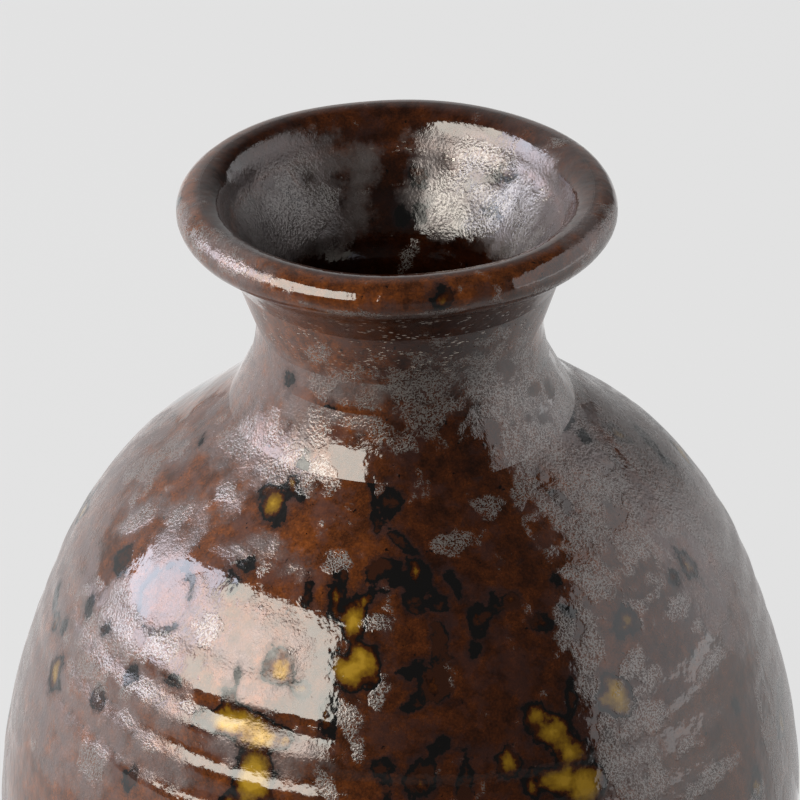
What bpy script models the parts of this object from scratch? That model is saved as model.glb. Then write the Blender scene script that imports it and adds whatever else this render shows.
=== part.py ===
"""A two-go sake bottle of wheel-thrown stoneware: fired clay, a glaze coat outside and a glaze lining inside.

Z points up, the origin is the centre of the foot's underside, and every length is in metres.
Run it with: blender --background --python part.py
"""

import math

import bpy
import numpy as np

MM = 0.001

# Driving dimensions
BOTTLE_HEIGHT = 125.0 * MM
GLAZE_THICKNESS = 0.7 * MM
GLAZE_GAP = 0.1 * MM  # between one solid and the next
GLAZE_LINE_HEIGHT = 6.0 * MM  # the outside glaze stops here, above the bare foot

# The rolled lip is part of a ring with an oval section
LIP_RADIUS = 19.5 * MM  # of the ring along the lip's crest
LIP_HALF_WIDTH = 3.0 * MM
LIP_HALF_HEIGHT = 2.2 * MM
LIP_OUTER_TURN = math.radians(145)  # from the crest, over the edge and under
LIP_INNER_TURN = math.radians(55)  # from the crest into the mouth

# Stations that the glazed surfaces pass through, (radius, height), top to bottom
OUTSIDE_STATIONS = (
    (17.5 * MM, 117.0 * MM),
    (15.3 * MM, 113.0 * MM),
    (14.7 * MM, 109.0 * MM),  # throat
    (15.5 * MM, 105.0 * MM),
    (17.2 * MM, 101.5 * MM),
    (22.6 * MM, 97.0 * MM),  # start of the shoulder
    (29.7 * MM, 91.0 * MM),
    (35.2 * MM, 83.0 * MM),
    (38.8 * MM, 74.0 * MM),
    (41.7 * MM, 64.0 * MM),
    (43.0 * MM, 53.0 * MM),  # belly
    (41.9 * MM, 40.0 * MM),
    (38.0 * MM, 25.0 * MM),
    (33.2 * MM, 12.0 * MM),
    (30.8 * MM, GLAZE_LINE_HEIGHT),
)
INSIDE_STATIONS = (
    (14.5 * MM, 118.5 * MM),
    (11.9 * MM, 113.5 * MM),
    (10.8 * MM, 109.0 * MM),  # throat
    (11.5 * MM, 104.5 * MM),
    (13.8 * MM, 100.0 * MM),
    (19.0 * MM, 95.2 * MM),
    (26.2 * MM, 88.5 * MM),
    (31.4 * MM, 80.5 * MM),
    (35.2 * MM, 71.0 * MM),
    (38.2 * MM, 61.5 * MM),
    (39.0 * MM, 52.5 * MM),  # belly
    (37.8 * MM, 40.0 * MM),
    (33.6 * MM, 25.0 * MM),
    (27.4 * MM, 14.0 * MM),
    (19.0 * MM, 9.4 * MM),
    (9.0 * MM, 8.2 * MM),
    (0.0, 8.0 * MM),  # centre of the floor
)

# The bare clay under the glaze line, and the trimmed foot ring
BARE_WALL_LENGTH = 1.5 * MM
FOOT_TOP_HEIGHT = 3.4 * MM
FOOT_OUTER_RADIUS = 28.6 * MM
FOOT_RING_WIDTH = 4.8 * MM
FOOT_RECESS_DEPTH = 1.8 * MM
FOOT_CHAMFER = 0.5 * MM

ROUND_STEPS = 40  # facets round the axis
CURVE_SAMPLES = 12  # between two stations, before thinning
CORNER_TURN = math.radians(10)  # about how far an outline bends from one kept point to the next
SHARP_EDGE = math.radians(35)


def clear_scene():
    for item in list(bpy.data.objects):
        bpy.data.objects.remove(item, do_unlink=True)


def make_material(name, colour, roughness):
    material = bpy.data.materials.new(name)
    material.use_nodes = True
    shader = material.node_tree.nodes["Principled BSDF"]
    shader.inputs["Base Color"].default_value = colour
    shader.inputs["Roughness"].default_value = roughness
    shader.inputs["Metallic"].default_value = 0.0
    return material


def lip_arc(turn, side):
    """The lip's oval from its crest through an angle, outwards with side 1 or into the mouth with side -1."""
    angles = np.linspace(0.0, turn, CURVE_SAMPLES)
    radius = LIP_RADIUS + side * LIP_HALF_WIDTH * np.sin(angles)
    height = BOTTLE_HEIGHT - LIP_HALF_HEIGHT * (1.0 - np.cos(angles))
    return np.column_stack((radius, height))


def smooth_curve(stations):
    """A centripetal Catmull-Rom curve through the stations, with ends that run straight on."""
    knots = np.asarray(stations, float)
    knots = np.vstack((2 * knots[0] - knots[1], knots, 2 * knots[-1] - knots[-2]))
    pieces = []
    for first in range(len(knots) - 3):
        p0, p1, p2, p3 = knots[first:first + 4]
        t1 = math.sqrt(np.linalg.norm(p1 - p0))
        t2 = t1 + math.sqrt(np.linalg.norm(p2 - p1))
        t3 = t2 + math.sqrt(np.linalg.norm(p3 - p2))
        t = np.linspace(t1, t2, CURVE_SAMPLES, endpoint=False)[:, None]
        a1 = p0 + (p1 - p0) * t / t1
        a2 = p1 + (p2 - p1) * (t - t1) / (t2 - t1)
        a3 = p2 + (p3 - p2) * (t - t2) / (t3 - t2)
        b1 = a1 + (a2 - a1) * t / t2
        b2 = a2 + (a3 - a2) * (t - t1) / (t3 - t1)
        pieces.append(b1 + (b2 - b1) * (t - t1) / (t2 - t1))
    pieces.append(knots[-2:-1])
    return np.vstack(pieces)


def thinned(outline):
    """The outline with only its ends and the points where its heading passes a multiple of CORNER_TURN.

    That keeps the points where it runs upright, which are the belly and the throat.
    """
    steps = np.diff(outline, axis=0)
    headings = np.unwrap(np.arctan2(steps[:, 1], steps[:, 0]))
    bands = np.floor(headings / CORNER_TURN)
    bends = 1 + np.flatnonzero(np.diff(bands))
    return outline[np.concatenate(([0], bends, [len(outline) - 1]))]


def offset_right(outline, distance):
    """The outline moved to its right by a distance, with mitred corners and its start kept on the axis."""
    steps = np.diff(outline, axis=0)
    steps /= np.linalg.norm(steps, axis=1)[:, None]
    sides = np.column_stack((steps[:, 1], -steps[:, 0]))
    before = np.vstack((sides[:1], sides))
    after = np.vstack((sides, sides[-1:]))
    mitres = (before + after) / (1.0 + (before * after).sum(axis=1))[:, None]
    moved = outline + mitres * distance
    moved[0, 0] = 0.0
    return moved


def glazed_outline():
    """The glazed surface from the centre of the inside floor, up over the lip and down to the glaze line.

    Clay lies to the right of this outline all the way. The second value is the crest's place in it.
    """
    inside = thinned(np.vstack((lip_arc(LIP_INNER_TURN, -1), smooth_curve(INSIDE_STATIONS))))
    outside = thinned(np.vstack((lip_arc(LIP_OUTER_TURN, 1), smooth_curve(OUTSIDE_STATIONS))))
    return np.vstack((inside[::-1], outside[1:])), len(inside) - 1


def clay_outline(surface):
    """The clay's outline: behind the glaze all the way, then the bare wall, the foot ring and its recess."""
    covered = offset_right(surface, GLAZE_THICKNESS + GLAZE_GAP)
    last_step = covered[-1] - covered[-2]
    bare_end = covered[-1] + last_step / np.linalg.norm(last_step) * BARE_WALL_LENGTH
    ring_inner = FOOT_OUTER_RADIUS - FOOT_RING_WIDTH
    foot = (
        bare_end,
        (FOOT_OUTER_RADIUS, FOOT_TOP_HEIGHT),
        (FOOT_OUTER_RADIUS, FOOT_CHAMFER),
        (FOOT_OUTER_RADIUS - FOOT_CHAMFER, 0.0),
        (ring_inner + FOOT_CHAMFER, 0.0),
        (ring_inner, FOOT_CHAMFER),
        (ring_inner - FOOT_CHAMFER, FOOT_RECESS_DEPTH),
        (0.0, FOOT_RECESS_DEPTH),
    )
    return np.vstack((covered, foot))


def coat_outline(surface, crest):
    """The outer coat's section, a closed loop: up the back of the glaze to the crest and down its face."""
    back = offset_right(surface, GLAZE_THICKNESS)[crest:]
    face = surface[crest:].copy()
    back[0, 0] += GLAZE_GAP / 2
    face[0, 0] += GLAZE_GAP / 2
    return np.vstack((back[::-1], face))


def lining_outline(surface, crest):
    """The lining's section: up its face from the floor's centre to the crest, and back down behind it."""
    back = offset_right(surface, GLAZE_THICKNESS)[:crest + 1]
    face = surface[:crest + 1].copy()
    back[-1, 0] -= GLAZE_GAP / 2
    face[-1, 0] -= GLAZE_GAP / 2
    return np.vstack((face, back[::-1]))


def turned(name, outline, is_ring, material, axis, collection):
    """A solid of revolution. The outline runs up its inner side and down its outer side.

    A ring's outline closes on itself, and any other outline starts and ends on the axis.
    """
    points = [(radius, 0.0, height) for radius, height in outline]
    edges = [(i, i + 1) for i in range(len(points) - 1)]
    if is_ring:
        edges.append((len(points) - 1, 0))
    profile = bpy.data.meshes.new(name + "_profile")
    profile.from_pydata(points, edges, [])
    piece = bpy.data.objects.new(name, profile)
    collection.objects.link(piece)
    piece.parent = axis

    screw = piece.modifiers.new("turned", "SCREW")
    screw.axis = "Z"
    screw.angle = math.tau
    screw.steps = ROUND_STEPS
    screw.render_steps = ROUND_STEPS
    screw.use_merge_vertices = True
    screw.merge_threshold = 0.01 * MM

    graph = bpy.context.evaluated_depsgraph_get()
    shape = bpy.data.meshes.new_from_object(piece.evaluated_get(graph))
    piece.modifiers.remove(screw)
    piece.data = shape
    bpy.data.meshes.remove(profile)
    shape.name = name
    shape.shade_smooth()
    shape.set_sharp_from_angle(angle=SHARP_EDGE)
    shape.materials.append(material)
    return piece


def build():
    clear_scene()
    collection = bpy.data.collections.new("sake_bottle")
    bpy.context.scene.collection.children.link(collection)
    axis = bpy.data.objects.new("bottle_axis", None)
    collection.objects.link(axis)

    clay = make_material("stoneware_clay", (0.42, 0.31, 0.22, 1.0), 0.8)
    glaze = make_material("iron_glaze", (0.085, 0.032, 0.014, 1.0), 0.15)

    surface, crest = glazed_outline()
    turned("clay_body", clay_outline(surface), False, clay, axis, collection)
    turned("outer_glaze", coat_outline(surface, crest), True, glaze, axis, collection)
    turned("inner_glaze", lining_outline(surface, crest), False, glaze, axis, collection)


build()
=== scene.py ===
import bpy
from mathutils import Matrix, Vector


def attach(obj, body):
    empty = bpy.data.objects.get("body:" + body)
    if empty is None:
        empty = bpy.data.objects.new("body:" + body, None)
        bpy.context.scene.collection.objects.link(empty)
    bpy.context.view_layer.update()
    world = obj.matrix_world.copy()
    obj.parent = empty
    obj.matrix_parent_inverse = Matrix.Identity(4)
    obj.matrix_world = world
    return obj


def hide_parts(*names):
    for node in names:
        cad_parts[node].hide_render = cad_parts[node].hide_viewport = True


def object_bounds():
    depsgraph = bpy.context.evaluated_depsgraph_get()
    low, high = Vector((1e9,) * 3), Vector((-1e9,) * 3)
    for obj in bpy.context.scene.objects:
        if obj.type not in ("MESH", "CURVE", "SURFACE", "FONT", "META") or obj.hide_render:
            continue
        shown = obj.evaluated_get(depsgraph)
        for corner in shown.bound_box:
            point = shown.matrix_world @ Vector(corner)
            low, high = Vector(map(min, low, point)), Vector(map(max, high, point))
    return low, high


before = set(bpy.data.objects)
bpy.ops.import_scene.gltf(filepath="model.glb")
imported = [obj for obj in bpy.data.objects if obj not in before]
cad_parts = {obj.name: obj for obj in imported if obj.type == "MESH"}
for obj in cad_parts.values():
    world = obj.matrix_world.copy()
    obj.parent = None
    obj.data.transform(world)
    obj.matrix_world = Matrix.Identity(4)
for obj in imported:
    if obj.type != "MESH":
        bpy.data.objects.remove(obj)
cadBounds = [list(corner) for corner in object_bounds()]

from math import radians, tau

import bpy
import numpy as np
from mathutils import Matrix, Vector

mm = 0.001   # every shape below is worked out in millimetres
scene = bpy.context.scene
print("frame loaded:", sorted(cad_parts))


def smoothCurve(stations, samples=24):
    # a centripetal Catmull-Rom curve through the stations, with straight ends, all spans worked out at once
    knots = np.asarray(stations, float)
    knots = np.vstack((2 * knots[0] - knots[1], knots, 2 * knots[-1] - knots[-2]))
    p0, p1, p2, p3 = [knots[i:len(knots) - 3 + i][:, None] for i in range(4)]
    t1 = np.sqrt(np.linalg.norm(p1 - p0, axis=2, keepdims=True))
    t2 = t1 + np.sqrt(np.linalg.norm(p2 - p1, axis=2, keepdims=True))
    t3 = t2 + np.sqrt(np.linalg.norm(p3 - p2, axis=2, keepdims=True))
    t = t1 + (t2 - t1) * np.linspace(0, 1, samples, endpoint=False)[None, :, None]
    a1 = p0 + (p1 - p0) * t / t1
    a2 = p1 + (p2 - p1) * (t - t1) / (t2 - t1)
    a3 = p2 + (p3 - p2) * (t - t2) / (t3 - t2)
    b1 = a1 + (a2 - a1) * t / t2
    b2 = a2 + (a3 - a2) * (t - t1) / (t3 - t1)
    curve = b1 + (b2 - b1) * (t - t1) / (t2 - t1)
    return np.vstack((curve.reshape(-1, 2), knots[-2:-1]))


def alongCurve(curve, places, values=None):
    # a curve's points, or other values given at those points, at distances along it
    values = curve if values is None else values
    steps = np.linalg.norm(np.diff(curve, axis=0), axis=1)
    reach = np.concatenate(([0.0], np.cumsum(steps)))
    return np.column_stack([np.interp(places, reach, values[:, i]) for i in (0, 1)])


def curveLength(curve):
    return np.linalg.norm(np.diff(curve, axis=0), axis=1).sum()


def sideways(curve):
    # the unit normal at each point of a curve, to the left of the way it runs
    run = np.gradient(curve, axis=0)
    run /= np.linalg.norm(run, axis=1)[:, None]
    return np.column_stack((-run[:, 1], run[:, 0]))


def ease(value, start, end):
    # 0 before start, 1 past end, and a smooth S between them
    t = np.clip((value - start) / (end - start), 0, 1)
    return t * t * (3 - 2 * t)


def makeSkin(name, points, isRing, fields=None):
    # A closed skin from rows of points round the axis. points is (rows, columns, 3) in mm, and each row
    # closes on itself. A ring's last row joins its first. Any other skin ends in one point at either end.
    rows, columns = points.shape[:2]
    j = np.arange(columns)
    k = (j + 1) % columns
    i = np.arange(rows if isRing else rows - 3)[:, None]
    n = (i + 1) % rows
    corners = np.broadcast_arrays(i * columns + j, n * columns + j, n * columns + k, i * columns + k)
    quads = np.stack(corners, -1).reshape(-1, 4)
    if isRing:
        faces = quads.tolist()
        places = points.reshape(-1, 3)
        keep = slice(None)
    else:
        last = 1 + (rows - 2) * columns
        top = np.stack((np.zeros_like(j), 1 + j, 1 + k), -1)
        end = np.stack((last - columns + j, np.full_like(j, last), last - columns + k), -1)
        faces = top.tolist() + (1 + quads).tolist() + end.tolist()
        places = np.vstack((points[0, :1], points[1:-1].reshape(-1, 3), points[-1, :1]))
        keep = np.concatenate(([0], np.arange(columns, (rows - 1) * columns), [(rows - 1) * columns]))
    mesh = bpy.data.meshes.new(name)
    mesh.from_pydata((places * mm).tolist(), [], faces)
    for label, values in (fields or {}).items():
        layer = mesh.attributes.new(label, "FLOAT", "POINT")
        layer.data.foreach_set("value", np.ascontiguousarray(values.reshape(-1)[keep], dtype=np.float32))
    mesh.update()
    mesh.shade_smooth()
    piece = bpy.data.objects.new(name, mesh)
    scene.collection.objects.link(piece)
    return piece


bottle = {                 # every length in mm
    "lip": {"radius": 20.1, "halfWidth": 2.4, "halfHeight": 2.2, "outerTurn": 148, "innerTurn": 62},
    "groove": (121.5, 0.75, 0.34),   # inside the lip: height, width and depth
    # shallow dents left under the lip, inside: degrees, height, width and depth
    "dents": [(137, 120.6, 2.6, 0.42), (158, 120.2, 3.4, 0.28), (148, 116.2, 3.0, 0.25),
              (126, 118.2, 3.2, 0.22), (-138, 119.6, 3.6, 0.25), (-118, 120.6, 3.4, 0.25),
              (170, 117.0, 4.0, 0.20), (112, 120.8, 3.0, 0.25)],
    # radius and height down the wall
    "outside": [(19.6, 119.6), (17.4, 117), (15.2, 113.3), (14.75, 110), (15.35, 105.8), (17.3, 101.5),
                (22.6, 97), (29.7, 91), (35.2, 83), (38.8, 74), (41.7, 64), (43, 53), (41.9, 40),
                (38, 25), (33.2, 12), (30.8, 6)],
    "inside": [(16.0, 120.6), (13.6, 117), (11.6, 113), (10.8, 109), (11.6, 104.5), (13.8, 100),
               (19, 95.2), (26.2, 88.5), (31.4, 80.5), (35.2, 71), (38.2, 61.5), (39, 52.5),
               (37.8, 40), (33.6, 25), (27.4, 14), (19, 9.4), (9, 8.2), (0, 8)],
    "columns": 400,                  # points round the bottle
    "ridges": [                      # pitch, height, lowest and highest place, wander, where one is steepest
        (3.9, 0.114, 70, 86, 0.10, 82.2), (6.1, 0.050, 20, 64, 0.22, 50.0),
        (2.3, 0.010, 88, 104, 0.25, 96.0), (1.1, 0.004, 100, 117, 0.10, 110.0)],
    "ridgesMeet": -30,               # degrees: where those places are counted
    "ridgeFade": (3, 2),             # how quickly they fade below and above
    "ridgeSwell": (0.62, 0.38),      # their mean height, and how much of it comes and goes twice a turn
    "lumps": 0.10,                   # slow unevenness left by the hand
    "lumpWaves": (14, 19),           # how the lumps change with height
    "smoothed": {"height": (112, 118), "radius": (2, 14)},   # a wet leather smoothed the lip and the floor
    "aside": [(0, 0), (70, 0.1), (96, 0.35), (106, 0.0), (125, -0.35)],   # height, and how far off the axis
    "mouthTip": 0.007,               # the slope of the mouth
    "mouthWaves": [(3, 0.07, 0.8), (7, 0.04, 0.0)],   # how often round, height and phase
    "neck": (104, 120),              # the heights over which the mouth's tip and waves set in
    "seed": 11,
}
height = cadBounds[1][2] / mm
around = np.linspace(0, tau, bottle["columns"], endpoint=False)   # 0 faces -Y, and it grows towards +X


def lipArc(turn, side):
    # a quarter and more of the lip's oval, from its crest outwards (1) or into the mouth (-1)
    lip = bottle["lip"]
    t = np.linspace(0, radians(turn), 60)
    return np.column_stack((lip["radius"] + side * lip["halfWidth"] * np.sin(t),
                            height - lip["halfHeight"] * (1 - np.cos(t))))


outerLip, innerLip = lipArc(bottle["lip"]["outerTurn"], 1), lipArc(bottle["lip"]["innerTurn"], -1)
outsideCurve = np.vstack((outerLip[:-1], smoothCurve([outerLip[-1]] + bottle["outside"])))
insideCurve = np.vstack((innerLip[:-1], smoothCurve([innerLip[-1]] + bottle["inside"])))


def carry(radius, level):
    # rows of (radius, height) carried round the axis
    radius, level = [np.broadcast_to(v, (len(v), bottle["columns"])) for v in (radius, level)]
    return np.stack((radius * np.sin(around), -radius * np.cos(around), level), -1)


def unevenness(level, angle):
    # Ridges are sine waves up the wall that climb one pitch a turn and wander a little.
    # Lumps are a few slow waves round and up the pot.
    draw = np.random.default_rng(bottle["seed"])
    turn = angle - radians(bottle["ridgesMeet"])
    total = np.zeros(np.broadcast(level, angle).shape)
    fadeIn, fadeOut = bottle["ridgeFade"]
    mean, change = bottle["ridgeSwell"]
    swell = mean + change * np.cos(2 * turn)
    for pitch, size, low, high, wander, start in bottle["ridges"]:
        drift = wander * (np.sin(2 * turn) + 0.6 * np.sin(5 * turn) * np.cos(level / 9))
        inside = ease(level, low - fadeIn, low + fadeIn) * (1 - ease(level, high - fadeOut, high + fadeOut))
        total = total + size * swell * inside * np.sin(tau * ((level - start) / pitch + turn / tau + drift))
    climb, rise = bottle["lumpWaves"]
    for turns in range(1, 6):
        phase = draw.uniform(0, tau, 2)
        lump = np.sin(turns * angle + phase[0] + level / climb) * np.cos(level / rise + phase[1])
        total = total + bottle["lumps"] / turns * lump
    return total


def settle(points):
    # the hand-thrown mouth sits a little to one side, tips by less than half a degree and isn't quite level
    x, y, level = points[..., 0], points[..., 1], points[..., 2]
    angle = np.arctan2(x, -y)
    heights, shifts = zip(*bottle["aside"])
    waves = sum(size * np.sin(turns * angle + phase) for turns, size, phase in bottle["mouthWaves"])
    rise = ease(level, *bottle["neck"]) * (bottle["mouthTip"] * x + waves)
    return np.stack((x + np.interp(level, heights, shifts), y, level + rise), -1)


# Marks in the glaze: degrees round from the front (+ is to the right), height, width, length
# and lean. A lean above 0 turns a mark's top to the right. An amber island's last number is its black edge.
marks = {
    "amber": [
        (-38, 97.8, 2.8, 3.4, -10, 0.35), (-34.5, 99.3, 2.2, 0.7, 50, 0.2),
        (-8.5, 87.7, 5.0, 4.8, 0, 0.3), (-9.5, 91.2, 2.3, 3.6, 5, 0.3), (-8, 92.6, 1.4, 2.0, 20, 0.35),
        (-14, 92.6, 4.0, 1.0, 80, 0.45), (-12.5, 83.2, 1.2, 3.6, 0, 0.4),
        (-28, 81.0, 8.0, 2.8, -12, 0.3), (-22, 80.2, 5.0, 3.0, 0, 0.3), (-23, 76.5, 4.2, 6.4, 0, 0.3),
        (-24, 72.5, 5.0, 3.4, 0, 0.4), (-22, 86.6, 3.4, 3.6, 10, 0.25), (-17, 85.2, 1.4, 1.3, 0, 0.25),
        (-37, 92.0, 2.6, 1.2, 60, 0.35), (-47, 88.0, 1.0, 1.6, 0, 0.3), (-56, 77.0, 1.5, 2.2, 0, 0.4),
        (-30, 83.0, 2.4, 0.7, 80, 0.3), (2.5, 94.7, 1.1, 2.4, 0, 0.35), (22, 92.0, 0.9, 0.7, 0, 0.7),
        (5, 86.2, 1.5, 1.9, 0, 1.0), (3, 77.8, 1.8, 2.2, 0, 0.9), (14.5, 90.8, 0.5, 1.6, 0, 0.9),
        (22, 82.2, 1.7, 2.2, -20, 0.4), (24.5, 80.4, 3.6, 3.4, -30, 0.35),
        (27, 78.2, 3.6, 3.0, -20, 0.35), (25, 75.8, 5.6, 3.0, 10, 0.35),
        (28.5, 74.6, 4.6, 4.6, 0, 0.35), (16.8, 78.4, 1.9, 3.2, 0, 0.5), (20, 76.0, 3.0, 0.9, 75, 0.5),
        (37.5, 81.9, 3.2, 5.0, -20, 0.25), (35.2, 82.0, 2.6, 1.4, 0, 0.25),
        (44.5, 87.6, 1.9, 2.2, 10, 0.5), (66, 88.0, 1.5, 3.0, -15, 0.45),
        (60, 88.0, 1.0, 0.9, 0, 0.45), (63, 65.2, 1.8, 3.0, 0, 0.4), (27, 89.7, 0.9, 0.6, 0, 0.6),
        (11, 123.4, 1.4, 1.2, 0, 0.6)],
    "black": [
        (-33.5, 97.4, 1.7, 2.4, 0), (-31, 99.0, 2.2, 0.8, 60), (-20, 92.8, 3.2, 1.2, 80),
        (-11, 82.6, 0.9, 3.6, 0), (-50, 88.6, 6.6, 7.6, 12), (-66, 88.7, 3.4, 3.0, 20),
        (-67, 83.4, 1.6, 3.0, 10), (-60, 83.4, 1.4, 2.0, 0), (-50, 80.8, 1.8, 2.4, 20),
        (-41, 82.6, 2.2, 1.4, 0), (-36, 93.4, 2.8, 1.4, 0), (-29, 83.6, 5.4, 0.9, 85),
        (-44, 72.0, 1.8, 3.0, 30), (-77, 98.0, 1.4, 1.2, 0), (-31, 106.0, 1.9, 2.2, 0),
        (-49, 108.0, 1.2, 1.5, 0), (-3, 99.4, 2.6, 2.8, 0), (-9, 99.9, 2.6, 0.8, 80),
        (-7, 97.6, 3.4, 0.9, 80), (0, 96.6, 3.6, 1.4, 40), (-4, 94.6, 4.4, 3.6, 0),
        (3, 94.4, 2.8, 4.0, 0), (-13, 93.5, 4.6, 0.9, 85), (2.5, 92.4, 2.8, 1.6, 40),
        (6.5, 92.4, 2.2, 2.6, 0), (6.5, 89.8, 2.0, 3.6, 0), (5, 88.0, 2.6, 1.1, 0),
        (11, 93.6, 1.4, 3.4, -25), (15.5, 91.2, 2.4, 3.2, 20), (13, 88.8, 1.6, 2.0, 30),
        (18.5, 92.0, 2.4, 0.8, 90), (1.5, 87.4, 1.8, 1.4, 0), (1.5, 84.4, 2.4, 1.3, 0),
        (6.5, 80.6, 2.6, 2.0, 0), (-3, 78.8, 2.6, 1.6, 0), (9.5, 77.4, 5.4, 1.6, -80),
        (-2, 75.8, 4.4, 1.0, 90), (19, 102.3, 1.6, 1.5, 0), (26, 101.2, 1.3, 2.0, 0),
        (46, 97.0, 1.5, 2.6, -20), (28.5, 82.6, 4.4, 1.3, -75), (42, 87.4, 1.8, 2.2, 0),
        (33, 90.2, 1.5, 1.8, 0), (33, 92.6, 1.5, 1.6, 0), (56, 81.7, 1.0, 1.6, 0),
        (63, 73.8, 2.0, 1.8, 0), (-88, 123.6, 1.4, 1.4, 0), (24, 70.6, 5.0, 1.2, 80)],
    "holes": [             # neither amber nor black
        (-10.5, 89.2, 0.6, 0.9, 0), (-4.5, 93.8, 0.9, 1.3, 0), (-56, 77.0, 0.5, 1.0, 0),
        (-49.6, 88.5, 6.0, 7.0, 12)],
    "insideAmber": [
        (172, 118.7, 1.3, 1.1, 0, 0.5), (132, 117.3, 1.8, 0.6, 0, 0.5)],
    "insideBlack": [
        (178, 115.4, 1.8, 2.2, 0), (170, 115.9, 1.7, 2.4, 0), (137, 120.7, 3.4, 2.0, 20)],
    "clusters": 46,        # more of both, drawn at random where the lists above have none
    "seed": 5,
}

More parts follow.
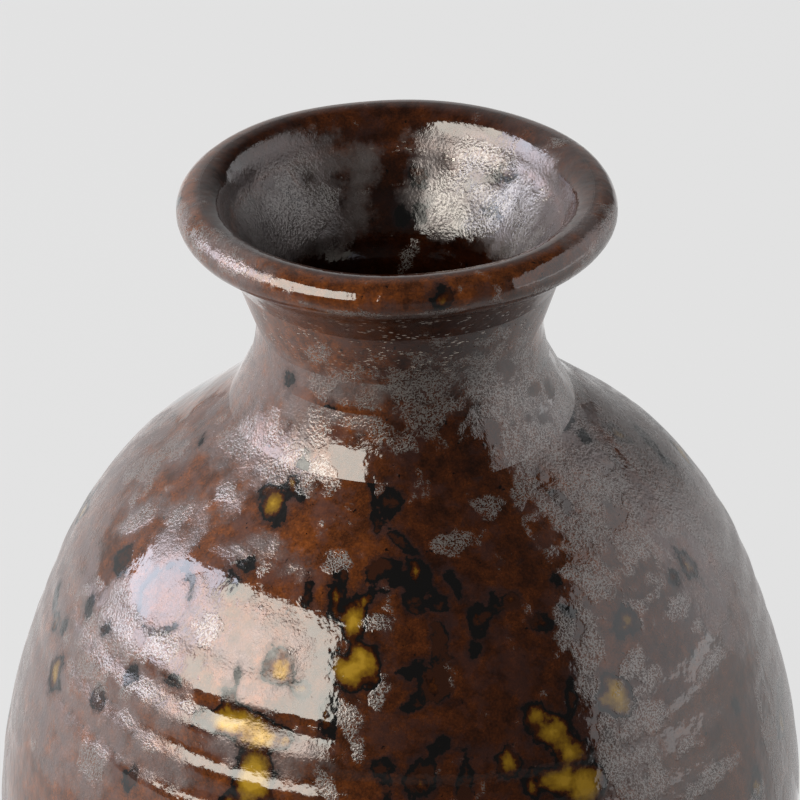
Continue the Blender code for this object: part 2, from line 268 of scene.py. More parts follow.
# The silvery crystal film, as patches that run together: degrees, height, width, length and lean
film = {
    "outside": [
        (-57, 101, 6, 5, 0), (-47, 101.5, 6, 4, 0), (-35, 101, 6, 2.4, 0), (-60, 94, 5, 5, 20),
        (-39, 94, 5, 1.8, -10), (-32, 95, 2.6, 2.2, 0), (-53, 97, 3.5, 2.4, 0), (-16, 95, 2.4, 2.2, 0),
        (-24, 94, 3.2, 2, 0), (-6, 105, 1.7, 2.4, 0), (-7, 102.6, 2.5, 2.8, 0), (-6, 91, 2.4, 1.5, 0),
        (-4, 85.3, 1.2, 2, 0), (-10, 83.8, 1.7, 2.2, 0), (-8, 82, 1.5, 2, 0), (-7, 80.4, 1.6, 2.4, 0),
        (-12, 77, 2.2, 2.4, 0), (-62, 86, 4, 5, 0), (-55, 84, 6, 5, 0), (-46, 85, 7, 5, 0),
        (-66, 80, 4, 5, 0), (-60, 79, 4, 4, 0), (-46, 80.6, 6, 3.4, 0), (-48, 77, 7, 3, 10),
        (-42, 76, 4, 3, 0), (-53, 71, 7, 8, 0), (-36, 80.8, 3, 1.6, 0), (-38, 88, 6, 5, 0),
        (-70, 92, 4, 7, 20), (-27, 113, 4, 2, 0), (-33, 110, 4, 3, 0), (-17, 112, 3, 3, 0),
        (-2, 114, 3, 1.5, 0), (-6, 111, 5, 3, 0), (7, 112.5, 4, 2.6, 0), (22, 114, 6, 2.5, 0),
        (34, 114, 6, 3, 0), (56, 111, 7, 7, 0), (35, 109, 6, 5, 0), (6, 109, 6, 2.2, 0),
        (20, 107, 5, 3, 0), (27, 104.4, 3, 3, 0), (42, 107, 4, 4, 0), (60, 104, 7, 6, 0),
        (48, 102, 3, 3, 0), (55, 99.6, 3, 3, 0), (25, 98.6, 3, 1.8, 0), (13, 96.4, 5, 2.4, 0),
        (36, 94.5, 2.5, 2, 0), (40, 91.5, 3.2, 4.5, 0), (36, 89.5, 2, 4, 0), (36, 87, 2.5, 3, 0),
        (32.5, 84, 3.2, 6, 0), (31.5, 89, 3, 5, 0), (33.5, 76, 3.4, 6, 0), (57, 96, 9, 5, 0),
        (48, 95, 4.5, 5, 0), (64, 93.7, 4, 3, 0), (68, 91.5, 5, 4, 0), (76, 101, 6, 6, 0),
        (42, 83.8, 5, 2.6, -30), (44, 81.9, 4, 3, 0), (43, 78.6, 4.5, 5, 0), (34, 79.3, 2.4, 5, 0),
        (39, 75.6, 3, 2.6, 0), (40, 72.5, 5, 4, 0), (48, 74.2, 3, 2, 0), (52, 69.6, 9, 3, 0),
        (49, 88.4, 5, 1.6, 10), (58, 86.2, 6, 3, 0), (60, 83.6, 3, 2, 0), (60, 79.7, 6, 1.8, 0),
        (96, 90, 30, 44, 0), (86, 70, 14, 40, 0), (80, 104, 12, 10, 0), (46, 121.7, 7, 1.6, 0),
        (60, 122.4, 8, 2.4, 0), (76, 123.4, 8, 2.4, 0), (0, 121.7, 22, 0.5, 0)],
    "thin": [              # wide stretches where it is only a lace
        (-60, 82, 16, 12, 0), (-50, 101.3, 22, 7, 0), (-5, 109, 30, 4, 0), (30, 108, 26, 8, 0),
        (54, 95, 20, 20, 0), (38, 76, 6, 14, 0), (75, 66, 10, 18, 0), (180, 70, 90, 90, 0),
        (-128, 70, 60, 90, 0), (128, 70, 60, 90, 0), (-60, 124.4, 12, 3.4, 0), (-80, 123, 9, 3, 0)],
    "veil": [              # wide stretches where it is thinner still, and only dims the brown softly
        (-97, 89, 24, 22, 0), (-80, 78, 24, 26, 0), (-66, 100.7, 18, 10, 0), (-45, 102.6, 12, 7, 0),
        (-42, 99.4, 7, 2.2, 0), (-57, 93.6, 6, 8, 0), (-51, 96.4, 2.6, 3.4, 0), (-34, 95.0, 3.6, 2, 0),
        (-65, 73.8, 24, 17, 0), (-46, 74.9, 17, 5, 0), (-60, 82, 11, 9, 0), (-41, 80.4, 7, 6, 0),
        (-44, 88, 8, 9, 0), (-72, 109, 15, 9, 0), (-28, 109.5, 18, 4, 0), (104, 96, 24, 12, 0),
        (100, 84, 24, 30, 0), (90, 78, 18, 24, 0), (180, 60, 90, 80, 0), (-50, 124.6, 10, 4, 0),
        (-80, 124.0, 5, 4, 0), (66, 124.6, 10, 4, 0), (0, 121.6, 24, 0.8, 0), (72, 88, 14, 28, 0),
        (-27, 87, 11, 11, 0), (-22, 79, 12, 5, 0), (70, 100, 14, 8, 0)],
    "inside": [
        (-125, 117.5, 13, 6, 0), (-108, 119, 9, 7, 0), (-138, 121, 6, 3, 0), (157, 117, 4, 7, 0),
        (147, 121.4, 9, 3, 0), (140, 117, 5, 5, 0), (126, 119, 5, 5, 0), (112, 118, 3, 7, 0),
        (96, 116, 3, 6, 10), (76, 118, 3, 4, 0)],
    "insideVeil": [
        (-120, 118.5, 20, 10, 0), (-150, 116, 8, 6, 0), (150, 119, 12, 9, 0), (120, 119, 14, 12, 0),
        (95, 118, 12, 12, 0), (163, 117.5, 7, 8, 0), (140, 118, 12, 6, 0), (165, 122, 8, 2.4, 0),
        (-132, 122.4, 18, 4.5, 0), (-158, 120, 8, 5, 0), (140, 122.8, 10, 2, 0)],
    "windowSide": (-110, -18), "windowLace": 0.55,   # there most patches are veil, with lace in their middles
    "cardSide": (10, 70), "cardLace": 0.78,          # and there the lace leaves islands of clear glass
    # mm of depth counted in the veil, in patches, in thin stretches and elsewhere
    "veilDeepest": 0.7, "thickest": 0.8, "lacy": 0.0, "bare": -0.95,
    "clusters": 60,        # more, drawn at random for the back, the sides and the lower belly
    "seed": 21,
}


def surfaceFrames(curve, angles, levels):
    # the place, the way round, the way up and the way out at points of a turned surface
    order = np.argsort(curve[:, 1])
    radius = np.interp(levels, curve[order, 1], curve[order, 0])
    slope = (np.interp(levels + 0.3, curve[order, 1], curve[order, 0]) - radius) / 0.3
    a = np.radians(angles)
    out = np.stack((np.sin(a), -np.cos(a), 0 * a), -1)
    place = out * radius[:, None] + np.array((0, 0, 1)) * levels[:, None]
    across = np.stack((np.cos(a), np.sin(a), 0 * a), -1)
    upward = out * slope[:, None] + np.array((0, 0, 1))
    upward /= np.linalg.norm(upward, axis=1)[:, None]
    return place, across, upward, np.cross(across, upward)


def depthIn(points, curve, blobs, grow=0.0, joining=4.0):
    # How deep each point lies inside a set of leaning ovals on the surface, in mm, and below 0 outside them.
    # Neighbouring ovals run together with a smooth maximum.
    blobs = np.asarray(blobs, float)
    place, across, upward, out = surfaceFrames(curve, blobs[:, 0], blobs[:, 1])
    total = np.full(points.shape[:-1], 1e-12)
    for n, blob in enumerate(blobs):
        half = np.maximum(blob[2:4] / 2 + grow, 0.15)
        lean = radians(blob[4])
        offset = points - place[n]
        u, v, w = offset @ across[n], offset @ upward[n], offset @ out[n]
        u, v = u * np.cos(lean) - v * np.sin(lean), u * np.sin(lean) + v * np.cos(lean)
        depth = 1 - np.sqrt((u / half[0]) ** 2 + (v / half[1]) ** 2 + (w / 3.0) ** 2)
        depth = depth * np.sqrt(half[0] * half[1])
        total += np.exp(joining * np.clip(depth, -6, 6))
    return np.log(total) / joining


def drawnMarks():
    # clusters of islands and spots where the lists place none: the back, the sides and the lower belly
    draw = np.random.default_rng(marks["seed"])
    amber, black = [], []
    while len(amber) + len(black) < marks["clusters"] * 5:
        angle, level = draw.uniform(-180, 180), draw.uniform(12, 102)
        if abs(angle) < 72 and level > 66:
            continue
        for n in range(draw.integers(3, 8)):
            size = draw.uniform(0.8, 3.4) * (1.3 if n == 0 else 0.8)
            spot = (angle + draw.normal(0, 5), level + draw.normal(0, 2.6), size * draw.uniform(0.7, 1.5),
                    size * draw.uniform(0.7, 1.5), draw.uniform(-90, 90))
            if draw.random() < 0.4 and size > 1.4:
                amber.append(spot + (draw.uniform(0.25, 0.5),))
            else:
                black.append(spot)
    return amber, black


def drawnFilm():
    # chains of film patches for the same places, each chain wandering downhill as the glaze ran
    draw = np.random.default_rng(film["seed"])
    patches = []
    while len(patches) < film["clusters"] * 5:
        angle, level = draw.uniform(-180, 180), draw.uniform(14, 112)
        if abs(angle) < 78 and level > 64:
            continue
        for n in range(5):
            patches.append((angle, level, draw.uniform(2.5, 8), draw.uniform(2, 6), draw.uniform(-40, 40)))
            angle, level = angle + draw.normal(0, 5), level - draw.uniform(0.5, 4)
    return patches


drawnAmber, drawnBlack = drawnMarks()
filmPatches = np.array(film["outside"] + drawnFilm(), float)
windowSide = (filmPatches[:, 0] > film["windowSide"][0]) & (filmPatches[:, 0] < film["windowSide"][1])
veilPatches = np.vstack((film["veil"], filmPatches[windowSide]))
filmPatches[windowSide, 2:4] *= film["windowLace"]
cardSide = (filmPatches[:, 0] > film["cardSide"][0]) & (filmPatches[:, 0] < film["cardSide"][1])
filmPatches[cardSide, 2:4] *= film["cardLace"]


pour = {
    # degrees round where the brown begins and stops being painted lighter, and how much: on the window's side
    # this is painted light, and the second stretch lies on the right
    "thin": [(-150, -100, -26, 6, 1.0), (28, 40, 100, 150, 0.65)],
    "overLip": (120, 123.5), "lipLoss": 0.35,          # the heights over which it thins, and by how much
    # down inside, the brown is painted darker as shade, and less so over these heights towards the lip
    "insideLip": (118, 124.5), "insideShadeFade": 0.45,
    "pitsBegin": (110, 114), "pitsEnd": (120, 122),    # heights
    "pitsGrow": (-8, 9), "fewestPits": 0.3,            # mm to the right, and what share there is on the left
}


def depthBothSides(points, outside, inside, joining=4.0):
    # the deeper of two depths: in a set of ovals on the outside, and in one on the inside
    return np.maximum(depthIn(points, outsideCurve, outside, joining=joining),
                      depthIn(points, insideCurve, inside, joining=joining))


def withEdge(islands):
    # the ovals that reach past amber islands by the width of their black edges
    islands = np.array(islands, float)
    return np.hstack((islands[:, :2], islands[:, 2:4] + 2 * islands[:, 5:6], islands[:, 4:5]))


def glazeFields(points):
    # What the glaze's material reads at each point: how deep it lies in black marks, in amber ones, in the
    # film and in its veil, how thick the glaze is (0 to 1), which also carries painted light on the window's
    # side and painted shade down inside, and how pitted.
    amber = marks["amber"] + drawnAmber
    black = np.vstack((withEdge(amber), marks["black"] + drawnBlack))
    insideBlack = np.vstack((withEdge(marks["insideAmber"]), marks["insideBlack"]))
    dark = depthBothSides(points, black, insideBlack)
    glow = depthBothSides(points, amber, marks["insideAmber"])
    dark = np.minimum(dark, -depthIn(points, outsideCurve, marks["holes"]))
    glow = np.minimum(glow, -depthIn(points, outsideCurve, marks["holes"], grow=0.3))
    cover = depthBothSides(points, filmPatches, film["inside"], joining=2.5)
    lace = depthIn(points, outsideCurve, film["thin"], joining=2.5)
    cover = np.maximum(np.minimum(cover, film["thickest"]), np.clip(lace, film["bare"], film["lacy"]))
    veil = depthBothSides(points, veilPatches, film["insideVeil"], joining=3.0)
    veil = np.minimum(veil, film["veilDeepest"])
    x, y, level = points[..., 0], points[..., 1], points[..., 2]
    radius, angle = np.hypot(x, y), np.degrees(np.arctan2(x, -y))
    # It ran thinner over the lip. On the window's side the brown is painted lighter, as painted light, and on
    # a stretch of the right too; down inside it is painted darker, as painted shade.
    thin = sum(most * ease(angle, a, b) * (1 - ease(angle, c, d)) for a, b, c, d, most in pour["thin"])
    thickness = 0.5 - 0.5 * thin - pour["lipLoss"] * ease(level, *pour["overLip"]) * (1 - thin)
    insideWall = radius < np.interp(level, insideCurve[::-1, 1], insideCurve[::-1, 0]) + 0.3
    thickness = np.where(insideWall, 1 - pour["insideShadeFade"] * ease(level, *pour["insideLip"]), thickness)
    pitting = ease(level, *pour["pitsBegin"]) * (1 - ease(level, *pour["pitsEnd"])) * ~insideWall
    fewest = pour["fewestPits"]
    pitting = pitting * (fewest + (1 - fewest) * ease(x, *pour["pitsGrow"]))
    return {"markDepth": dark, "amberDepth": glow, "filmDepth": cover, "veilDepth": veil,
            "thickness": thickness, "pitting": pitting}


print("glaze marks:", len(marks["amber"] + drawnAmber), "amber,", len(marks["black"] + drawnBlack), "black,",
      len(filmPatches), "film")


coat = {
    "thickness": 0.7, "rows": 212, "backRows": 14, "beadRows": 8,
    "bead": 0.3, "beadDrop": 0.5,                        # how far the bead swells and hangs
    "beadReach": (4, 1),                                 # how far above the edge it begins and is full
    "lineWander": 0.45, "wallSlope": 0.4,
    "lineWaves": [(1, 1.0, 1.1), (3, 0.6, 0.4), (7, 0.35, 2.0)],   # how often round, share and phase
    "lineRange": (6, 22),                                # the heights over which the drift fades out
}
lining = {"rows": 150, "backRows": 30}


def thrownSurface(curve, places, side, push):
    # Rows along a profile carried round the axis, each pushed out along its normal (side 1 is to the left) by
    # the unevenness, which fades out where the pot was smoothed. Groove and dents are bell curves.
    rows = alongCurve(curve, places)
    normal = alongCurve(curve, places, sideways(curve)) * side
    radius, level = rows[:, 0:1], rows[:, 1:2]
    smoothed = bottle["smoothed"]
    rough = (1 - ease(level, *smoothed["height"])) * ease(radius, *smoothed["radius"])
    push = push + unevenness(level, around[None]) * rough
    if side < 0:
        middle, width, depth = bottle["groove"]
        push = push - depth * np.exp(-((level - middle) / width) ** 2)
        for degrees, middle, width, depth in bottle["dents"]:
            aside = radius * (np.remainder(around - radians(degrees) + np.pi, tau) - np.pi)
            push = push - depth * np.exp(-(aside ** 2 + (level - middle) ** 2) / (width / 2) ** 2)
    return carry(radius + normal[:, 0:1] * push, level + normal[:, 1:2] * push)


def behind(curve, places, side, depth):
    # the smooth back of a glaze layer, at an even depth behind the profile
    rows = alongCurve(curve, places) - alongCurve(curve, places, sideways(curve)) * side * depth
    return carry(np.maximum(rows[:, 0:1], 0), rows[:, 1:2])


def driftLine(points):
    # the bottom edge of the coat drifts up and down the wall as a sum of slow waves round the pot
    waves = sum(share * np.sin(turns * around + phase) for turns, share, phase in coat["lineWaves"])
    drift = coat["lineWander"] * waves * (1 - ease(points[..., 2], *coat["lineRange"]))
    out = points[..., :2] / np.maximum(np.linalg.norm(points[..., :2], axis=-1), 1)[..., None]
    moved = points.copy()
    moved[..., :2] += out * (drift * coat["wallSlope"])[..., None]
    moved[..., 2] += drift
    return moved


def makeOuterGlaze():
    # A ring: down its face from the lip's crest, round the bead at its bottom edge, and back up behind.
    # The bead is half an oval, and the coat swells a little above it where the glaze ran and stopped.
    length = curveLength(outsideCurve)
    places = np.concatenate(([0], np.linspace(0.05, length, coat["rows"] - 1)))
    begins, full = coat["beadReach"]
    swell = coat["bead"] * ease(places, length - begins, length - full)[:, None]
    face = thrownSurface(outsideCurve, places, 1, swell)
    back = behind(outsideCurve, np.linspace(length, 0, coat["backRows"]), 1, coat["thickness"])
    turn = np.linspace(0, np.pi, coat["beadRows"] + 2)[1:-1, None, None]
    middle, half = (face[-1] + back[0]) / 2, (face[-1] - back[0]) / 2
    down = face[-1] - face[-2]
    down = down / np.linalg.norm(down, axis=-1, keepdims=True)
    bead = middle + half * np.cos(turn) + down * coat["beadDrop"] * np.sin(turn)
    points = driftLine(np.concatenate((face, bead, back)))
    return makeSkin("outerGlaze", settle(points), True, glazeFields(points))


def makeInnerGlaze():
    # A cup: out from the middle of the floor, up its face to the lip's crest, and back down behind.
    length = curveLength(insideCurve)
    places = np.concatenate((np.linspace(length, 0.05, lining["rows"] - 1), [0]))
    face = thrownSurface(insideCurve, places, -1, 0.0)
    back = behind(insideCurve, np.linspace(0, length, lining["backRows"]), -1, coat["thickness"])
    points = np.concatenate((face, back))
    return makeSkin("innerGlaze", settle(points), False, glazeFields(points))


clay = {
    "behind": 0.8,         # how far the clay's face lies behind the glaze's
    "foot": [(28.6, 3.4), (28.6, 0), (23.8, 0), (23.2, 1.8), (0, 1.8)],
    "bareWall": 1.5, "rounding": 0.55, "wallRows": 60, "footRows": 90,
    "trimPitch": 1.15, "trimHeight": 0.035,
}


def roundedCorners(corners, radius):
    # each inner corner becomes a quadratic curve that starts and ends a radius away from it
    corners = np.asarray(corners, float)
    here, before, after = corners[1:-1], corners[:-2] - corners[1:-1], corners[2:] - corners[1:-1]
    start = here + before / np.linalg.norm(before, axis=1, keepdims=True) * radius
    end = here + after / np.linalg.norm(after, axis=1, keepdims=True) * radius
    t = np.linspace(0, 1, 9)[None, :, None]
    bends = (1 - t) ** 2 * start[:, None] + 2 * t * (1 - t) * here[:, None] + t ** 2 * end[:, None]
    return np.vstack((corners[:1], bends.reshape(-1, 2), corners[-1:]))


def makeClayBody():
    # Up behind the lining, over the lip, down behind the coat, then the bare wall, foot ring and recess.
    # The trimming tool left a shallow spiral there: a sine wave along the radius that turns with the angle.
    innerLength, outerLength = curveLength(insideCurve), curveLength(outsideCurve)
    inner = behind(insideCurve, np.linspace(innerLength, 0, clay["wallRows"]), -1, clay["behind"])
    outer = behind(outsideCurve, np.linspace(0, outerLength, clay["wallRows"])[1:], 1, clay["behind"])
    wallEnd = np.array((-outer[-1, 0, 1], outer[-1, 0, 2]))
    before = np.array((-outer[-2, 0, 1], outer[-2, 0, 2]))
    bareEnd = wallEnd + (wallEnd - before) / np.linalg.norm(wallEnd - before) * clay["bareWall"]
    outline = roundedCorners(np.vstack((wallEnd, bareEnd, clay["foot"])), clay["rounding"])
    rows = alongCurve(outline, np.linspace(0, curveLength(outline), clay["footRows"])[1:])
    radius, level = rows[:, 0:1], rows[:, 1:2]
    inRecess = ease(level, 1.4, 1.8) * (1 - ease(radius, 22, 23.2)) * ease(radius, 0.5, 3)
    trim = clay["trimHeight"] * inRecess * np.sin(tau * radius / clay["trimPitch"] - around)
    foot = carry(radius, level - trim)
    return makeSkin("clayBody", settle(np.concatenate((inner, outer, foot))), False)


pieces = {"outer_glaze": makeOuterGlaze(), "inner_glaze": makeInnerGlaze(), "clay_body": makeClayBody()}
print("pieces made:", {p.name: len(p.data.polygons) for p in pieces.values()})


def colour(code, alpha=1.0):
    # an sRGB hex colour as linear RGBA
    c = np.array([int(code[i:i + 2], 16) for i in (1, 3, 5)]) / 255
    c = np.where(c <= 0.04045, c / 12.92, ((c + 0.055) / 1.055) ** 2.4)
    return (*c.tolist(), alpha)


def addNode(tree, kind, settings=None, links=None, out=0):
    # A shader node with its settings (inputs by number or name, or properties) and links; gives one output.
    # A math node's operation is written after its kind.
    kind, _, operation = kind.partition(" ")
    node = tree.nodes.new("ShaderNode" + kind)
    if operation:
        node.operation = operation
    for key, value in (settings or {}).items():
        if key == "stops":
            ramp = node.color_ramp.elements
            while len(ramp) < len(value):
                ramp.new(0.5)
            for element, (place, code) in zip(ramp, value):
                element.position, element.color = place, colour(code)
        elif key == "between":
            node.inputs["From Min"].default_value, node.inputs["From Max"].default_value = value
        elif isinstance(key, int) or key in node.inputs:
            node.inputs[key].default_value = colour(value) if isinstance(value, str) else value
        else:
            setattr(node, key, value)
    for key, socket in (links or {}).items():
        tree.links.new(socket, node.inputs[key])
    return node.outputs[out]


glazeLook = {
    # each noise: size in mm, detail, roughness, distortion, and how far it swings about 0 (0: it runs 0 to 1)
    "noises": {
        "wander": (2.0, 4.0, 0.6, 0, 1.7), "fray": (0.45, 2.0, 0.5, 0, 0.25),   # of the marks' edges, in mm
        "clouds": (6.0, 3.0, 0.55, 0, 0), "mottle": (1.5, 4.0, 0.6, 0, 0), "grain": (0.24, 1.0, 0.5, 0, 0),
        "haze": (3.75, 5.0, 0.65, 0, 0), "specks": (0.9, 2.0, 0.6, 0, 0), "veil": (2.6, 5.0, 0.7, 0, 3.0),
        "lobes": (3.0, 5.0, 0.6, 0.3, 2.5), "crystal": (0.30, 1.5, 0.6, 0, 0),   # of the film
        "pitGroups": (4 / 3, 1.0, 0.5, 0, 0),
        "peel": (1.7, 2.0, 0.5, 0, 0),             # slow waves of the melt, like orange peel
        "ripple": (0.32, 1.0, 0.5, 0, 0)},         # fine unevenness that frays the edge of a reflection
    "shares": (0.28, 0.44, 0.28),                  # how much clouds, mottle and grain count in the brown
    # where each edge begins and is full, and the most that it covers
    "blackEdge": (-0.05, 0.10), "haloEdge": (-0.7, 0.0), "haloMost": 0.5, "burntEdge": (3.0, 3.5),
    "burntMost": 0.8, "hazeEdge": (0.48, 0.64), "hazeMost": 0.55, "speckEdge": (0.69, 0.74),
    "veilEdge": (-1.0, 1.6), "veilMost": 0.5, "amberEdge": (-0.05, 0.12), "patchEdge": (-0.4, 0.1),
    "pitEdge": (0.36, 0.2), "pitGlintMost": 0.85,
    "burntFray": 1.6, "burntClouds": 5.0,          # how much both break up the burnt middles
    "amberWander": 0.8, "amberBurn": 0.62, "amberStreaks": 0.9,
    "wormDepth": (-0.4, 2.2), "wormSpread": (-0.015, 0.06), "wormEdge": (0.075, 0.015),
    "inBlack": -0.5, "underVeil": -0.4,            # the film is thinner on black marks and under the veil
    "pit": 0.8, "pitFlat": 3.2, "pitGroups": (0.50, 0.56),
    "peelHeight": 0.060, "rippleHeight": 0.0055, "crystalHeight": 0.055, "pitDepth": 0.16,   # mm
    "gloss": 0.07, "filmRoughness": 0.42, "veilDull": 0.8, "patchDull": 0.4, "pitDull": 0.7,
    "filmMetal": 0.75, "veilMetal": 0.50,
    "ior": 1.62,                                   # an iron-rich glaze is denser than window glass
    "brown": [(0.36, "#2c1508"), (0.45, "#3f200e"), (0.54, "#532b11"), (0.65, "#6c3a18")],
    "depthsAndShade": [(0.0, "#ffffff"), (0.5, "#a8a1a4"), (1.0, "#67605f")],   # what thicker glaze multiplies it by; the same ramp paints shade down inside and light on the window's side
    "amber": [(0.0, "#120603"), (0.22, "#341704"), (0.45, "#5c420c"), (0.75, "#745812"), (1.0, "#8a6c1e")],
    "haze": "#49332f", "speck": "#120907", "black": "#0c0b0b", "halo": "#1a1517", "burnt": "#2b1409",
    # pale is a painted glint for the pits under the lip
    "film": "#7d7977", "veil": "#777070", "pale": "#d2c9c1",
}


def makeIronGlaze():
    # Iron-saturated stoneware glaze, poured and dipped, fired in reduction and cooled slowly.
    # It is a glossy red-brown glass; crystals that grew on it make silvery patches that glitter,
    # and where it ran thick over a bare spot it shows amber with a black edge.
    material = bpy.data.materials.new("ironGlaze")
    material.use_nodes = True
    tree, look = material.node_tree, glazeLook
    smooth = {"interpolation_type": "SMOOTHSTEP"}
    shader = tree.nodes["Principled BSDF"]
    place = addNode(tree, "TexCoord", out="Object")
    inMm = addNode(tree, "Mapping", {"Scale": (1000, 1000, 1000)}, {0: place})
    markDepth, amberDepth, filmDepth, veilDepth, thickness, pitting = [
        addNode(tree, "Attribute", {"attribute_name": n}, out="Fac")
        for n in ("markDepth", "amberDepth", "filmDepth", "veilDepth", "thickness", "pitting")]
    noise = {}
    for name, (size, detail, roughness, distortion, swing) in look["noises"].items():
        noise[name] = addNode(tree, "TexNoise", {"Scale": 1 / size, "Detail": detail, "Roughness": roughness,
                                                 "Distortion": distortion}, {0: inMm})
        if swing:
            noise[name] = addNode(tree, "Math MULTIPLY_ADD", {1: 2 * swing, 2: -swing},
                                  {0: noise[name]})

    # how far in each point is, once the marks' edges wander and fray
    edge = addNode(tree, "Math ADD", {}, {0: noise["wander"], 1: noise["fray"]})
    blackIn = addNode(tree, "Math ADD", {}, {0: markDepth, 1: edge})
    amberIn = addNode(tree, "Math MULTIPLY_ADD", {1: look["amberWander"]},
                      {0: edge, 2: amberDepth})
    black = addNode(tree, "MapRange", {**smooth, "between": look["blackEdge"]}, {"Value": blackIn})
    amber = addNode(tree, "MapRange", {**smooth, "between": look["amberEdge"]}, {"Value": amberIn})
    halo = addNode(tree, "MapRange", {**smooth, "between": look["haloEdge"], "To Max": look["haloMost"]},
                   {"Value": blackIn})
    burnt = addNode(tree, "Math MULTIPLY_ADD", {1: look["burntFray"]},
                    {0: noise["fray"], 2: blackIn})
    burnt = addNode(tree, "Math MULTIPLY_ADD", {1: look["burntClouds"]},
                    {0: noise["clouds"], 2: burnt})
    burnt = addNode(tree, "MapRange", {**smooth, "between": look["burntEdge"], "To Max": look["burntMost"]},
                    {"Value": burnt})

    # the brown glass: slow clouds, small mottles and fine grain, with haze and a few dark specks
    first, second, third = look["shares"]
    brown = addNode(tree, "Math MULTIPLY", {1: first}, {0: noise["clouds"]})
    brown = addNode(tree, "Math MULTIPLY_ADD", {1: second}, {0: noise["mottle"], 2: brown})
    brown = addNode(tree, "Math MULTIPLY_ADD", {1: third}, {0: noise["grain"], 2: brown})
    base = addNode(tree, "ValToRGB", {"stops": look["brown"]}, {0: brown})
    hazy = addNode(tree, "MapRange", {**smooth, "between": look["hazeEdge"], "To Max": look["hazeMost"]},
                   {"Value": noise["haze"]})
    specks = addNode(tree, "MapRange", {"between": look["speckEdge"]}, {"Value": noise["specks"]})
    for name, amount in (("haze", hazy), ("speck", specks)):
        base = addNode(tree, "Mix", {"data_type": "RGBA", 7: look[name]}, {0: amount, 6: base}, out=2)
    # thickness darkens the brown: real over the lip, painted shade down inside and painted light on the
    # window's side
    depthsAndShade = addNode(tree, "ValToRGB", {"stops": look["depthsAndShade"]}, {0: thickness})
    base = addNode(tree, "Mix", {"data_type": "RGBA", "blend_type": "MULTIPLY", 0: 1.0},
                   {6: base, 7: depthsAndShade}, out=2)

    # over it the milky veil, where crystals are too small to see, and black marks with burnt middles
    veil = addNode(tree, "Math ADD", {}, {0: veilDepth, 1: noise["veil"]})
    veil = addNode(tree, "MapRange", {**smooth, "between": look["veilEdge"]}, {"Value": veil})
    milk = addNode(tree, "Math MULTIPLY", {1: look["veilMost"]}, {0: veil})
    for name, amount in (("veil", milk), ("halo", halo), ("black", black), ("burnt", burnt)):
        base = addNode(tree, "Mix", {"data_type": "RGBA", 7: look[name]}, {0: amount, 6: base}, out=2)

    # amber islands, burnt at the edge and mustard inside
    swing = look["amberStreaks"]
    streaks = addNode(tree, "Math MULTIPLY_ADD", {1: swing, 2: -swing / 2}, {0: noise["mottle"]})
    tone = addNode(tree, "Math MULTIPLY_ADD", {1: look["amberBurn"]}, {0: amberIn, 2: streaks})
    tone = addNode(tree, "ValToRGB", {"stops": look["amber"]}, {0: tone})
    base = addNode(tree, "Mix", {"data_type": "RGBA"}, {0: amber, 6: base, 7: tone}, out=2)

    # The crystal film lies in lobed patches. Its crystals grow as worms: where the noise is near its middle
    # value, and in wider bands the denser the film is.
    filmIn = addNode(tree, "Math ADD", {}, {0: filmDepth, 1: noise["lobes"]})
    filmIn = addNode(tree, "Math MULTIPLY_ADD", {1: look["inBlack"]}, {0: black, 2: filmIn})
    patch = addNode(tree, "MapRange", {**smooth, "between": look["patchEdge"]}, {"Value": filmIn})
    thinnest, widest = look["wormSpread"]
    density = addNode(tree, "MapRange", {"between": look["wormDepth"], "To Min": thinnest, "To Max": widest},
                      {"Value": filmIn})
    worms = addNode(tree, "Math SUBTRACT", {1: 0.5}, {0: noise["crystal"]})
    worms = addNode(tree, "Math ABSOLUTE", {}, {0: worms})
    worms = addNode(tree, "Math SUBTRACT", {}, {0: worms, 1: density})
    grains = addNode(tree, "MapRange", {"between": look["wormEdge"]}, {"Value": worms})
    cover = addNode(tree, "Math MULTIPLY", {}, {0: patch, 1: grains})
    bare = addNode(tree, "Math MULTIPLY_ADD", {1: look["underVeil"], 2: 1.0}, {0: veil})
    cover = addNode(tree, "Math MULTIPLY", {}, {0: cover, 1: bare})

    # shallow pits under the lip, wider than they are tall, with painted pale glints in them
    flat = addNode(tree, "Mapping", {"Scale": (1, 1, look["pitFlat"])}, {0: inMm})
    pits = addNode(tree, "TexVoronoi", {"Scale": 1 / look["pit"]}, {0: flat})
    pits = addNode(tree, "MapRange", {**smooth, "between": look["pitEdge"]}, {"Value": pits})
    some = addNode(tree, "MapRange", {"between": look["pitGroups"]}, {"Value": noise["pitGroups"]})
    for part in (some, pitting):
        pits = addNode(tree, "Math MULTIPLY", {}, {0: pits, 1: part})
    # the pale mix in the pits is a painted glint, standing in for light caught on their edges
    pale = addNode(tree, "Math MULTIPLY", {1: look["pitGlintMost"]}, {0: pits})
    for name, amount in (("film", cover), ("pale", pale)):
        base = addNode(tree, "Mix", {"data_type": "RGBA", 7: look[name]}, {0: amount, 6: base}, out=2)
    tree.links.new(base, shader.inputs["Base Color"])

    # crystals and veil shine a little like metal and blur reflections; the glass between stays glossy
    filmMetal = addNode(tree, "Math MULTIPLY", {1: look["filmMetal"]}, {0: cover})
    veilMetal = addNode(tree, "Math MULTIPLY", {1: look["veilMetal"]}, {0: veil})
    metal = addNode(tree, "Math MAXIMUM", {}, {0: filmMetal, 1: veilMetal})
    tree.links.new(metal, shader.inputs["Metallic"])
    dull = cover
    for name, part in (("veilDull", veil), ("patchDull", patch), ("pitDull", pitting)):
        part = addNode(tree, "Math MULTIPLY", {1: look[name]}, {0: part})
        dull = addNode(tree, "Math MAXIMUM", {}, {0: dull, 1: part})
    rougher = look["filmRoughness"] - look["gloss"]
    rough = addNode(tree, "Math MULTIPLY_ADD", {1: rougher, 2: look["gloss"]}, {0: dull})
    tree.links.new(rough, shader.inputs["Roughness"])
    shader.inputs["IOR"].default_value = look["ior"]

